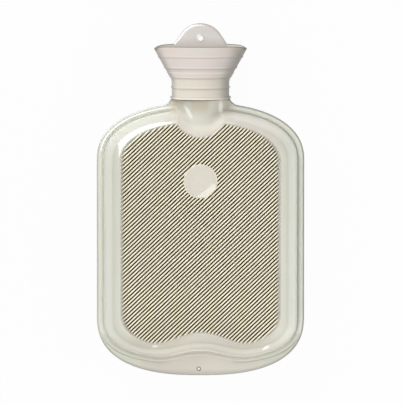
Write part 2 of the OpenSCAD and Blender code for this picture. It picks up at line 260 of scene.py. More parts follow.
def stack_faces(count, n, base=0):
    """Quads between each two neighbours of count rings of n points, the first of them numbered base."""
    faces = []
    for k in range(count - 1):
        here = base + k * n
        for i in range(n):
            j = (i + 1) % n
            faces.append((here + i, here + j, here + n + j, here + n + i))
    return faces


def cap_faces(count, n, base=0):
    """The two faces that close the ends of a stack of rings."""
    last = base + (count - 1) * n
    return [tuple(base + i for i in range(n - 1, -1, -1)), tuple(last + i for i in range(n))]


def loft(name, rings, caps=True):
    """A closed solid through rings of points. Without caps the last ring joins the first."""
    n = len(rings[0])
    points = np.concatenate(rings)
    faces = stack_faces(len(rings), n)
    if caps:
        faces += cap_faces(len(rings), n)
    else:
        last = (len(rings) - 1) * n
        faces += [(last + i, last + (i + 1) % n, (i + 1) % n, i) for i in range(n)]
    return weld(make_object(name, points, faces))


def both_sides(name, front):
    """A solid from the rings of its front half, inwards, and the same rings mirrored behind."""
    back = [ring * np.array([1, 1, -1]) for ring in reversed(front)]
    return loft(name, back + front)


def circle(x, y, r, z, n):
    """A ring of n points round (x, y) at height z. A radius of 0 becomes a very small one."""
    angles = np.linspace(0, 2 * math.pi, n, endpoint=False)
    r = max(r, 1e-4)
    return np.column_stack([x + r * np.cos(angles), y + r * np.sin(angles), np.full(n, z)])


def lathe(name, profile, n=96):
    """A solid turned about the upright neck axis, from (radius, height) points."""
    return loft(name, [upright(circle(0, 0, r, h, n)) for r, h in profile])


def face_lathe(name, x, y, profile, n):
    """A solid turned about an axis that stands out of the front at (x, y), from (radius, z) points."""
    return loft(name, [circle(x, y, r, z, n) for r, z in profile])


def curve_h(x, a, b, power):
    """Height of a rounded corner curve, a wide and b high, at x."""
    return b * (1 - np.minimum(1, np.abs(x) / a) ** power) ** (1 / power)


def wave(x, span, height):
    """Height of a single wave in the middle of an edge, at x."""
    return np.where(np.abs(x) < span / 2, height * np.cos(math.pi * x / span) ** 2, 0)


def smooth_max(a, b, blend):
    """The higher of two heights, with the step between them rounded over blend."""
    h = np.clip(blend - np.abs(a - b), 0, None) / blend
    return np.maximum(a, b) + h * h * blend / 4


def smooth_step(x, lo, hi):
    """0 below lo, 1 above hi and a soft rise between."""
    t = np.clip((x - lo) / (hi - lo), 0, 1)
    return t * t * (3 - 2 * t)


# The moulded bottle: columns of points run round it, and rings step inwards from the flange's edge.

SIDE_STEPS = 34
STRAIGHT_STEPS = 9
BOTTOM_STEPS = 120


def neck_section(x):
    """Height of the neck's round tube at x, with a fillet down to the flange."""
    top = FLANGE_T / 2 + NECK_FOOT_R
    cx = math.sqrt((NECK_R + NECK_FOOT_R) ** 2 - top ** 2)
    touch = cx * NECK_R / (NECK_R + NECK_FOOT_R)
    ax = np.abs(x)
    tube = np.sqrt(np.clip(NECK_R ** 2 - ax ** 2, 0, None))
    fillet = top - np.sqrt(np.clip(NECK_FOOT_R ** 2 - (ax - cx) ** 2, 0, None))
    return np.where(ax < touch, tube, np.where(ax < cx, fillet, FLANGE_T / 2))


def neck_columns():
    """Columns across the neck, from right to left, close together where the tube turns down."""
    tube = NECK_R * np.sin(np.radians(np.linspace(80, 0, 17)))
    flat = np.linspace(NECK_ZONE, 25.6, 5)[:-1]
    fillet = np.linspace(25.6, tube[0], 8)[:-1]
    half = np.concatenate([flat, fillet, tube])
    return np.concatenate([half, -half[-2::-1]])


def top_columns(a):
    """Columns along the top of an outline of half width a, from right to left."""
    q = np.linspace(1, 0, SIDE_STEPS, endpoint=False)
    side = NECK_ZONE + (a - NECK_ZONE) * np.sin(q * math.pi / 2)
    return np.concatenate([side, neck_columns(), -side[::-1]])


def outline(a, top, bottom, upper_y, lower_y):
    """A closed outline, counterclockwise from the right end of its upper curve."""
    x_top = top_columns(a)
    x_bottom = -a * np.cos(np.linspace(0, math.pi, BOTTOM_STEPS + 1))
    rows = np.linspace(0, 1, STRAIGHT_STEPS + 1)[1:-1]
    left = [(-a, upper_y + (lower_y - upper_y) * t) for t in rows]
    right = [(a, lower_y + (upper_y - lower_y) * t) for t in rows]
    return np.array(
        [(x, y) for x, y in zip(x_top, top(x_top))] + left
        + [(x, y) for x, y in zip(x_bottom, bottom(x_bottom))] + right)


def flange_top(x):
    """Upper edge of the flange: shoulders, fillets, sides of the neck and the neck's mouth."""
    a = WIDTH / 2
    shoulder = UPPER_Y + curve_h(x, a, SHOULDER_H, SHOULDER_POWER)
    cx = NECK_WEB_X + NECK_FILLET_R
    touch_y = UPPER_Y + curve_h(cx, a, SHOULDER_H, SHOULDER_POWER)
    slope = (UPPER_Y + curve_h(cx + 1, a, SHOULDER_H, SHOULDER_POWER)) - touch_y
    cy = touch_y + NECK_FILLET_R * math.sqrt(1 + slope * slope)
    ax = np.abs(x)
    fillet = cy - np.sqrt(np.clip(NECK_FILLET_R ** 2 - (ax - cx) ** 2, 0, None))
    web = np.where(ax < cx, np.minimum(fillet, FLANGE_TOP_Y), shoulder)
    web = np.where(ax <= NECK_WEB_X, FLANGE_TOP_Y, np.maximum(web, shoulder))
    return np.where(ax <= NECK_R, NECK_TOP, np.minimum(web, FLANGE_TOP_Y))


def flange_line():
    """Outer edge of the flange."""
    a = WIDTH / 2
    return outline(
        a, flange_top, lambda x: LOWER_Y - curve_h(x, a, LOWER_Y, LOWER_POWER), UPPER_Y, LOWER_Y)


def chamber_line(inset=0.0):
    """Line where the flange meets the chamber's wall."""
    a = CHAMBER_A - inset
    return outline(
        a,
        lambda x: UPPER_Y + curve_h(x, a, CHAMBER_UPPER_H - inset, SHOULDER_POWER),
        lambda x: LOWER_Y - curve_h(x, a, CHAMBER_LOWER_H - inset, CHAMBER_POWER) + wave(x, *FLANGE_WAVE),
        UPPER_Y, LOWER_Y)


def panel_line(inset=0.0):
    """Edge of the ribbed panel, with its bay below the neck and its wave at the bottom."""
    a = PANEL_A - inset
    r = BAY_R + inset

    def top(x):
        crown = UPPER_Y + curve_h(x, a, PANEL_UPPER_H - inset, PANEL_UPPER_POWER)
        bay = BAY_Y - np.sqrt(np.clip(r * r - x * x, 0, None))
        return np.where(np.abs(x) < r, np.minimum(crown, bay), crown)

    def bottom(x):
        curve = curve_h(x, a, PANEL_LOWER_H - inset, PANEL_LOWER_POWER)
        return PANEL_LOWER_Y - curve + wave(x, *PANEL_WAVE)

    return outline(a, top, bottom, UPPER_Y, PANEL_LOWER_Y)


def flange_rings(outer, inner):
    """Rings of the flange's face, from its rounded edge over the bead to the chamber's wall."""
    w = np.linalg.norm(inner - outer, axis=1)
    r = FLANGE_T / 2
    rings = []
    steps = [("edge", d) for d in (0, 0.08, 0.3, 0.65, r)]
    steps += [("share", s) for s in (0.3, 0.6)]
    steps += [("line", d) for d in (1.2, 0.6)]
    steps += [("bead", d) for d in (BEAD_IN + BEAD_W / 2, BEAD_IN + BEAD_W / 4, BEAD_IN,
                                    BEAD_IN - BEAD_W / 4, BEAD_IN - BEAD_W / 2, 0.0)]
    for kind, value in steps:
        free = w - BEAD_IN - BEAD_W / 2
        if kind == "edge":
            d = np.full_like(w, value)
        elif kind == "share":
            d = r + (free - r) * value
        elif kind == "line":
            d = np.maximum(free - value, r + (free - r) * (1 - value / 6))
        else:
            d = w - value
        d = np.clip(d, 0, w)
        edge = np.sqrt(np.clip(r * r - np.clip(r - d, 0, None) ** 2, 0, None))
        away = np.abs(w - d - BEAD_IN) / (BEAD_W / 2)
        bead = np.where(away < 1, BEAD_H * np.cos(away * math.pi / 2) ** 2, 0)
        p = outer + (inner - outer) * (d / w)[:, None]
        rings.append((p, edge + bead))
    return rings


def wall_rings(foot, panel, z0, z1, steps):
    """Rings of the chamber's rounded wall, from the flange to the panel."""
    rings = []
    for t in np.linspace(0, 1, steps):
        angle = BULGE_START + (math.pi / 2 - BULGE_START) * t
        s = 1 - math.cos(angle) / math.cos(BULGE_START)
        rise = (math.sin(angle) - math.sin(BULGE_START)) / (1 - math.sin(BULGE_START))
        rings.append((foot * (1 - s) + panel * s, np.full(len(foot), z0 + (z1 - z0) * rise)))
    return rings


def pillow(name, flat_rings, neck):
    """A closed form, alike on both sides, from rings of (outline, height), with the neck blended in."""
    front = []
    for p, z in flat_rings:
        if neck:
            near = (p[:, 1] > PANEL_MID_Y) & (np.abs(p[:, 0]) < NECK_ZONE)
            tube = neck_section(p[:, 0])
            blended = smooth_max(z, tube, NECK_BLEND) if z.max() > FLANGE_T else np.maximum(z, tube)
            z = np.where(near, blended, z)
        front.append(np.column_stack([p, z]))
    return both_sides(name, front)


def bottle_outside():
    """The bottle's outer surface, without its ribs."""
    outer, inner = flange_line(), chamber_line()
    rings = flange_rings(outer, inner)
    rings += wall_rings(inner, panel_line(), FLANGE_T / 2, FACE_Z, 18)[1:]
    rings.append((panel_line(0.6), np.full(len(outer), FACE_Z)))
    return pillow("bottle_shell", rings, True)


def bottle_inside():
    """The space inside the bottle."""
    rings = wall_rings(chamber_line(WALL), panel_line(WALL), 0, FACE_Z - WALL, 9)
    return pillow("inside", rings, False)


def rib_chords():
    """Start and end of each rib along its own line, with its distance from the panel's middle."""
    line = panel_line() - np.array([0, PANEL_MID_Y])
    along = line @ np.array([math.cos(RIB_ANGLE), math.sin(RIB_ANGLE)])
    across = line @ np.array([-math.sin(RIB_ANGLE), math.cos(RIB_ANGLE)])
    reach = int(np.abs(across).max() / RIB_PITCH)
    chords = []
    for k in range(-reach, reach + 1):
        d = across - k * RIB_PITCH
        nxt = np.roll(d, -1)
        hit = d * nxt < 0
        t = along + (np.roll(along, -1) - along) * d / np.where(hit, d - nxt, 1)
        cuts = np.sort(t[hit])
        chords += [(k * RIB_PITCH, a, b) for a, b in zip(cuts[::2], cuts[1::2]) if b - a > RIB_MIN_L]
    return chords


def rib_section():
    """Rounded cross-section of a rib, sunk a little into the panel."""
    half = RIB_FOOT_W / 2
    crown = [(half * v, RIB_H * h) for v, h in (
        (-0.86, 0.2), (-0.68, 0.5), (-0.47, 0.78), (-0.24, 0.95), (0, 1),
        (0.24, 0.95), (0.47, 0.78), (0.68, 0.5), (0.86, 0.2))]
    return [(-half, -SINK), (-half, 0)] + crown + [(half, 0), (half, -SINK)]


def rib_stations(v, a, b):
    """Places along a rib from a to b, with its share of the full height at each, low at both ends."""
    ends = [(0.0, 0.08), (0.2, 0.35), (0.5, 0.75), (1.0, 1.0)]

    def ramp(along):
        """Length over which the rib rises at its end, longer at the sides of the panel."""
        x = along * math.cos(RIB_ANGLE) - v * math.sin(RIB_ANGLE)
        return 1.5 + 4.0 * float(smooth_step(abs(x), 58, 75))

    start, stop = ramp(a), ramp(b)
    short = min(1, 0.9 * (b - a) / (start + stop))
    rise = [(a + d * start * short, h) for d, h in ends]
    return rise + [(b - d * stop * short, h) for d, h in reversed(ends)]


def ribs(name, side):
    """All the ribs of one panel: side is 1 for the front and -1 for the back."""
    section = rib_section()
    c, s = math.cos(RIB_ANGLE), math.sin(RIB_ANGLE)
    points, faces = [], []
    n = len(section)
    for v, a, b in rib_chords():
        stations = rib_stations(v, a, b)
        base = len(points)
        for u, h in stations:
            for sv, sz in section:
                across = v + sv * (0.6 + 0.4 * h)
                z = sz * h if sz > 0 else sz
                x = u * c - across * s
                y = u * s + across * c
                points.append((x * side, y + PANEL_MID_Y, (z + FACE_Z) * side))
        faces += stack_faces(len(stations), n, base) + cap_faces(len(stations), n, base)
    return weld(make_object(name, points, faces))


def badge():
    """The plain round badge, with a low rim round a flat face."""
    top = RIB_H + BADGE_RISE
    profile = [
        (0, -SINK), (BADGE_R + 0.5, -SINK), (BADGE_R + 0.4, 0.5), (BADGE_R + 0.1, top - 0.2),
        (BADGE_R - 0.3, top), (BADGE_R - 0.9, top), (BADGE_R - 1.3, top - 0.25), (0, top - 0.25)]
    return face_lathe("badge", 0, BADGE_Y, [(r, FACE_Z + h) for r, h in profile], 128)


def upright_cylinder(name, r, low, high):
    """A plain cutter along the neck's axis."""
    return lathe(name, [(0, low), (r, low), (r, high), (0, high)])


def eyelet_cutter():
    """Cutter of the small hole in the bottom flange."""
    x, y, r = EYELET
    return face_lathe("eyelet", x, y, [(r, -FLANGE_T), (r, FLANGE_T)], 24)


def nearest_distance(points, line):
    """Distance of each point (x, y) from a closed outline, positive inside it."""
    best = np.full(len(points), 1e9)
    inside = np.zeros(len(points), bool)
    x, y = points[:, 0], points[:, 1]
    for p, q in zip(line, np.roll(line, -1, axis=0)):
        d = q - p
        length = float(d @ d)
        if length < 1e-12:
            continue
        t = np.clip(((x - p[0]) * d[0] + (y - p[1]) * d[1]) / length, 0, 1)
        best = np.minimum(best, np.hypot(x - p[0] - t * d[0], y - p[1] - t * d[1]))
        if p[1] != q[1]:
            cross = ((y < p[1]) != (y < q[1])) & (x < p[0] + (y - p[1]) * d[0] / d[1])
            inside ^= cross
    return np.where(inside, best, -best)


def add_attribute(obj, name, values):
    """A float per point that the material reads."""
    a = obj.data.attributes.new(name, "FLOAT", "POINT")
    a.data.foreach_set("value", np.asarray(values, np.float32))


def paint_ribs(obj, p, in_panel):
    """Attributes for painted shade in the grooves between the ribs and painted light on their crests,
    outside the badge.
    """
    height = np.abs(p[:, 2]) - FACE_Z
    share = np.clip(height / RIB_H, 0, 1)
    on_face = (height > -0.4) & (in_panel > -1.5)
    from_badge = np.hypot(p[:, 0], p[:, 1] - BADGE_Y)
    on_badge = (p[:, 2] > 0) & (from_badge < BADGE_R - 0.1) & (height > 0.1)
    panel = on_face & ~on_badge
    add_attribute(obj, "groove_shade", np.where(panel, 1 - smooth_step(share, 0.3, 0.9), 0))
    add_attribute(obj, "crest", np.where(panel, smooth_step(share, 0.55, 0.95), 0))


def paint_flange(obj, p, in_flange, in_chamber):
    """Attributes of the flange, all painted light and shade: edge, painted shade along its outer edge,
    and line, a painted shade line just outside its bead; crease, painted shade at the wall; and band,
    painted light over its face.
    """
    x, y = p[:, 0], p[:, 1]
    right = smooth_step(x, -60, 95)
    low = 1 - smooth_step(y, 20, 60)
    off_neck = np.clip(smooth_step(np.abs(x), 25, 32) + (y < PANEL_MID_Y), 0, 1)
    # Painted shade along the outer edge, darker to the right and towards the bottom.
    strength = np.maximum(0.35 + 0.4 * right, 0.65 * low)
    add_attribute(obj, "edge", (1 - smooth_step(in_flange, 0.7, 1.7)) * strength)
    # Painted shade in the fold where the flange meets the wall, darker to the right and faded along the
    # bottom.
    crease = (1 - smooth_step(np.abs(in_chamber), 0.1, 0.75)) * off_neck
    faded = 1 - low * (0.9 - 0.3 * smooth_step(np.abs(x), 50, 75))
    add_attribute(obj, "crease", crease * (0.35 + 0.55 * right) * faded)
    # Painted shade: a thin line just outside the bead, where the flange is wide along the bottom.
    line = 1 - smooth_step(np.abs(in_chamber + FOOT_LINE_OUT), 0.1, 0.7)
    wide = smooth_step(in_flange, 1.6, 3.0) * smooth_step(np.abs(x), 26, 40) * low
    add_attribute(obj, "line", line * wide)
    # Painted light: the flange's face made paler, away from the neck and the bottom.
    band = smooth_step(in_flange, 1.2, 2.0) * (1 - smooth_step(in_chamber, -1.6, -0.6)) * (y > 40)
    add_attribute(obj, "band", band * off_neck)


def paint_foot(obj, p, in_panel, in_chamber):
    """Attributes for painted shade on the wall along the foot's wave, and for painted sheen, a thin pale
    line on its front.
    """
    y = p[:, 1]
    wall = smooth_step(in_chamber, 0.2, 1.5) * (1 - smooth_step(in_panel, -1.0, 0.0))
    # Painted shade: the wall along the foot's wave made darker.
    add_attribute(obj, "foot_wall_shade", wall * (1 - smooth_step(y, 26, 48)))
    # Painted sheen: a thin pale line low on the wall, on the front only.
    up_wall = in_chamber / np.maximum(in_chamber - in_panel, 1e-6)
    near = 1 - smooth_step(np.abs(up_wall - 0.11), 0.0, 0.045)
    painted_sheen = near * (in_chamber > 0.1) * (in_panel < 0)
    add_attribute(obj, "painted_sheen", painted_sheen * (1 - smooth_step(y, 22, 36)) * smooth_step(p[:, 2], 0, 2))


def paint_tone(obj, p):
    """Attributes warm, the middle, neck, its darker patch, and socket, the insert that shows through."""
    x, y = p[:, 0], p[:, 1]
    side = smooth_step(np.abs(x), 66, 84) * smooth_step(y, 30, 60) * (1 - smooth_step(y, 215, 250))
    foot = smooth_step(np.abs(x), 40, 75) * (1 - smooth_step(y, 40, 70))
    shoulder = smooth_step(-x, 22, 45) * smooth_step(y, 195, 220)
    add_attribute(obj, "warm", 1 - np.maximum(side, np.maximum(foot, shoulder)))
    half, deep, top, power = NECK_SHADE
    u = (np.abs(x / half) ** power + np.abs(np.minimum(y - top, 0) / deep) ** power) ** (1 / power)
    add_attribute(obj, "neck", (1 - smooth_step(u, 0.9, 1.03)) * (y > PANEL_MID_Y))
    patch = (1 - smooth_step(np.abs(x + 0.5), 6, 11)) * smooth_step(y, 250, 259)
    add_attribute(obj, "socket", patch)


def paint_bottle(obj):
    """Attributes that paint shade, light and tone on the bottle by place. The attribute front tells its
    front from its back.
    """
    p = own_points(obj)
    in_panel = nearest_distance(p[:, :2], panel_line())
    in_flange = nearest_distance(p[:, :2], flange_line())
    in_chamber = nearest_distance(p[:, :2], chamber_line())
    add_attribute(obj, "front", smooth_step(p[:, 2], 0, 2))
    paint_ribs(obj, p, in_panel)
    paint_flange(obj, p, in_flange, in_chamber)
    paint_foot(obj, p, in_panel, in_chamber)
    paint_tone(obj, p)


def bottle_shell():
    """The whole moulded bottle with its ribs, badge, hollow chamber and open neck."""
    shell = bottle_outside()
    combine(shell, ribs("front_ribs", 1), "UNION")
    combine(shell, ribs("back_ribs", -1), "UNION")
    combine(shell, badge(), "UNION")
    combine(shell, bottle_inside(), "DIFFERENCE")
    combine(shell, upright_cylinder("bore", NECK_BORE_R, BAY_Y - BAY_R, NECK_TOP + 1), "DIFFERENCE")
    combine(shell, eyelet_cutter(), "DIFFERENCE")
    paint_bottle(shell)
    return smooth(shell)


# The funnel

OVAL_STEPS = 176


def oval(y, a, b, drop=0.0):
    """An oval ring round the neck's axis at height y, whose two ends lie lower by drop."""
    t = np.linspace(0, 2 * math.pi, OVAL_STEPS, endpoint=False)
    c, s = np.cos(t), np.sin(t)
    x = a * np.sign(c) * np.abs(c) ** (2 / OVAL_POWER)
    d = b * np.sign(s) * np.abs(s) ** (2 / OVAL_POWER)
    return upright(np.column_stack([x, d, y - drop * np.abs(c) ** RIM_DROP_POWER]))


def funnel_ring(y, proud):
    """Ring of the funnel's wall at height y, standing proud of its plain form."""
    s = min(1, max(0, (y - CONE_Y) / CONE_H))
    soft = s + 0.03 * math.exp(-((y - CONE_Y) / 2.0) ** 2)
    bulge = CONE_BULGE * 4 * s * (1 - s)
    return oval(
        y, COLLAR_A + (RIM_A - COLLAR_A) * soft + bulge + proud,
        COLLAR_B + (HALF_DEPTH - COLLAR_B) * soft + proud * (1 - s), RIM_DROP * s ** 3)


def band_height(h):
    """How far the raised bands stand proud at height h above the collar's foot."""
    total = 0.0
    for low, high, proud in FUNNEL_BANDS:
        rise = smooth_step(h, low - BAND_EDGE, low + BAND_EDGE) if low > 0 else 1.0
        total += proud * rise * (1 - smooth_step(h, high - BAND_EDGE, high + BAND_EDGE))
    return float(total)


def paint_funnel(obj):
    """Attributes of the funnel: beige low down; end, painted shade on its sides; line, painted shade at
    its bands and lip; bowl, painted light inside it; and foot, painted light along its lower edge.
    """
    p = own_points(obj)
    normal = np.empty(p.size)
    obj.data.vertices.foreach_get("normal", normal)
    normal = normal.reshape(-1, 3)
    outside = smooth_step(normal[:, 0] * p[:, 0] + normal[:, 2] * p[:, 2], -0.5, 0.5)
    cone = np.clip((p[:, 1] - COLLAR_Y - COLLAR_H) / CONE_H, 0, 1)
    end = p[:, 0] / (COLLAR_A + (RIM_A - COLLAR_A) * cone)
    # Painted shade on the funnel's ends, stronger on the right, outside only.
    right = smooth_step(end, 0.6, 1.05)
    left = smooth_step(-end, 0.8, 1.05)
    add_attribute(obj, "end", (0.45 * right + 0.45 * left) * outside)
    add_attribute(obj, "beige", 1 - smooth_step(cone, 0.0, 0.25))
    rim = RIM_Y - RIM_DROP * np.abs(end) ** RIM_DROP_POWER
    # Painted shade: thin lines at the lower edge of each raised band, outside, and a dark lip round the
    # rim.
    lines = np.zeros(len(p))
    for low, _, _ in FUNNEL_BANDS[1:]:
        h = p[:, 1] - COLLAR_Y - low + RIM_DROP * cone ** 3 * np.abs(end) ** RIM_DROP_POWER
        lines = np.maximum(lines, (1 - smooth_step(np.abs(h), 0.15, 0.5)) * 0.3)
    lip = smooth_step(p[:, 1], rim - 0.95, rim - 0.55)
    add_attribute(obj, "line", np.maximum(lines * outside, lip))
    # Painted light inside the bowl.
    add_attribute(obj, "bowl", 1 - outside)
    # Painted light along the foot of the collar, outside.
    add_attribute(obj, "foot", (1 - smooth_step(p[:, 1] - COLLAR_Y, 0.7, 1.4)) * outside)


def filler_funnel():
    """The funnel, with its raised bands, rounded rim, bowl and floor."""
    levels = set(np.round(np.arange(0, COLLAR_H + CONE_H - 0.9, 2.6), 3))
    for low, high, _ in FUNNEL_BANDS:
        for edge in (low, high):
            levels |= set(np.round(edge + np.array([-BAND_EDGE, -0.12, 0.12, BAND_EDGE]), 3))
    levels = sorted(h for h in levels if 0 <= h < COLLAR_H + CONE_H - 0.8)
    outside = [funnel_ring(COLLAR_Y + h, band_height(h)) for h in levels]
    r = FUNNEL_WALL / 2
    lip = [
        funnel_ring(RIM_Y - r + r * math.sin(a), -r + r * math.cos(a))
        for a in np.linspace(0, math.pi, 9)]
    inside = [
        funnel_ring(CONE_Y + CONE_H * s, -FUNNEL_WALL)
        for s in (0.85, 0.7, 0.5, 0.3, 0.15, 0.05, 0, -0.1)]
    floor_top = FLOOR_Y + FLOOR_T

    def ring(radius, h):
        return upright(circle(0, 0, radius, h, OVAL_STEPS))

    floor = [
        funnel_ring(floor_top + 1.5, -FUNNEL_WALL), funnel_ring(floor_top + 0.4, -FUNNEL_WALL - 0.4),
        funnel_ring(floor_top, -FUNNEL_WALL - 1.5), ring(MOUTH_R + 0.3, floor_top),
        ring(MOUTH_R, floor_top - 0.3), ring(MOUTH_R, FLOOR_Y), ring(NECK_R + 0.2, FLOOR_Y)]
    foot = [ring(NECK_R + 0.2, COLLAR_Y)]
    bowl = smooth(loft("funnel_bowl", foot + outside + lip + inside + floor, caps=False), 40)
    paint_funnel(bowl)
    return bowl


# The stopper


def rounded(corners):
    """A closed outline from (x, y, radius) corners, with an arc at each corner that has a radius."""
    out = []
    n = len(corners)
    for i, (x, y, r) in enumerate(corners):
        p = np.array([x, y])
        if r == 0:
            out.append(p)
            continue
        a = np.array(corners[i - 1][:2]) - p
        b = np.array(corners[(i + 1) % n][:2]) - p
        a, b = a / np.linalg.norm(a), b / np.linalg.norm(b)
        half = math.acos(np.clip(a @ b, -1, 1)) / 2
        reach = r / math.tan(half)
        centre = p + (a + b) / np.linalg.norm(a + b) * r / math.sin(half)
        start = p + a * reach - centre
        end = p + b * reach - centre
        a0 = math.atan2(start[1], start[0])
        turn = (math.atan2(end[1], end[0]) - a0 + math.pi) % (2 * math.pi) - math.pi
        out += [centre + r * np.array([math.cos(a0 + turn * t), math.sin(a0 + turn * t)])
                for t in np.linspace(0, 1, 9)]
    return np.array(out)


def tab_line():
    """Outline of the finger tab, counterclockwise from the right of its foot."""
    top_y = TAB_TOP - TAB_R
    start = math.radians(29)
    arc = [(TAB_R * math.cos(a), top_y + TAB_R * math.sin(a), 0)
           for a in np.linspace(start, math.pi - start, 41)]
    a, shoulder = TAB_SHOULDER_A, TAB_TOP - TAB_SHOULDER_DROP
    right = [(16.0, HEAD_Y + 1.5, 0), (a, shoulder - 3, 3.0), (a, shoulder, 2.0),
             (arc[0][0] + 0.4, arc[0][1] - 0.5, 5.0)]
    left = [(-x, y, r) for x, y, r in reversed(right)]
    return rounded(right + arc + left)


def inset(line, d):
    """The outline moved inwards by d."""
    before, after = np.roll(line, 1, axis=0), np.roll(line, -1, axis=0)
    e1 = line - before
    e2 = after - line
    n1 = np.column_stack([-e1[:, 1], e1[:, 0]]) / np.linalg.norm(e1, axis=1)[:, None]
    n2 = np.column_stack([-e2[:, 1], e2[:, 0]]) / np.linalg.norm(e2, axis=1)[:, None]
    n = n1 + n2
    n /= np.linalg.norm(n, axis=1)[:, None]
    return line + n * d


def finger_tab():
    """The tab's plate with rounded edges."""
    line = tab_line()
    low, high = (TAB_TOP - drop for drop in TAB_CROWN_DROP)
    crown = TAB_EDGE_R + (TAB_CROWN - TAB_EDGE_R) * smooth_step(line[:, 1], low, high)
    front = []
    for a in np.radians(np.linspace(0, 90, 8)):
        p = inset(line, (crown * (1 - math.cos(a)))[:, None])
        z = TAB_T / 2 - TAB_EDGE_R + TAB_EDGE_R * math.sin(a)
        front.append(np.column_stack([p, np.full(len(p), z)]))
    return both_sides("stopper_piece", front)


def thread():
    """The stopper's thread, a ridge that winds round the plug."""
    rings = []
    start_y = THREAD_TOP - THREAD_TURNS * THREAD_PITCH
    steps = int(THREAD_TURNS * 48)
    for k in range(steps + 1):
        a = 2 * math.pi * THREAD_TURNS * k / steps
        fade = max(0.05, min(1, a / 0.5, (2 * math.pi * THREAD_TURNS - a) / 0.5))
        h = start_y + THREAD_PITCH * a / (2 * math.pi)
        foot, crest = PLUG_R - 0.3, PLUG_R - 0.3 + (THREAD_CREST_R - PLUG_R + 0.3) * fade
        section = [(foot, -THREAD_FOOT_W / 2), (foot, THREAD_FOOT_W / 2),
                   (crest, THREAD_CREST_W / 2), (crest, -THREAD_CREST_W / 2)]
        rings.append(upright([(r * math.cos(a), r * math.sin(a), h + z) for r, z in section]))
    return loft("thread", rings)


def stopper_piece():
    """The stopper: finger tab, round flange and hollow threaded plug."""
    body = finger_tab()
    half = TAB_T / 2
    rim = [(0, 0.3), (1.1, 0.3), (1.5, 0.15), (1.8, -0.2)]
    eye = [(HOLE_R + out if out else 0, -half - rise) for out, rise in rim]
    eye += [(r, -z) for r, z in reversed(eye)]
    combine(body, face_lathe("eye", 0, HOLE_Y, eye, 48), "UNION")
    hollow = PLUG_R - PLUG_WALL
    inner_top = HEAD_Y - 4.3
    plug = [
        (0, inner_top), (hollow - 1, inner_top), (hollow, inner_top - 1), (hollow, PLUG_BOTTOM),
        (PLUG_R - 0.5, PLUG_BOTTOM), (PLUG_R, PLUG_BOTTOM + 0.5), (PLUG_R, HEAD_Y),
        (HEAD_R - 0.5, HEAD_Y), (HEAD_R, HEAD_Y + 0.5), (HEAD_R, HEAD_Y + HEAD_T - 1),
        (HEAD_R - 0.3, HEAD_Y + HEAD_T - 0.3), (HEAD_R - 1, HEAD_Y + HEAD_T), (0, HEAD_Y + HEAD_T)]
    combine(body, lathe("plug", plug), "UNION")
    combine(body, thread(), "UNION")
    hole = [(0, -TAB_T), (HOLE_R, -TAB_T), (HOLE_R, TAB_T), (0, TAB_T)]
    combine(body, face_lathe("hole", 0, HOLE_Y, hole, 48), "DIFFERENCE")
    p = own_points(body)
    inside = nearest_distance(p[:, :2], tab_line())
    on_tab = p[:, 1] > TAB_TOP - TAB_SHADE_DROP
    # Painted shade along the edge of the finger tab.
    add_attribute(body, "edge", (1 - smooth_step(inside, 0.0, 0.9)) * on_tab)
    return smooth(body)


# Materials


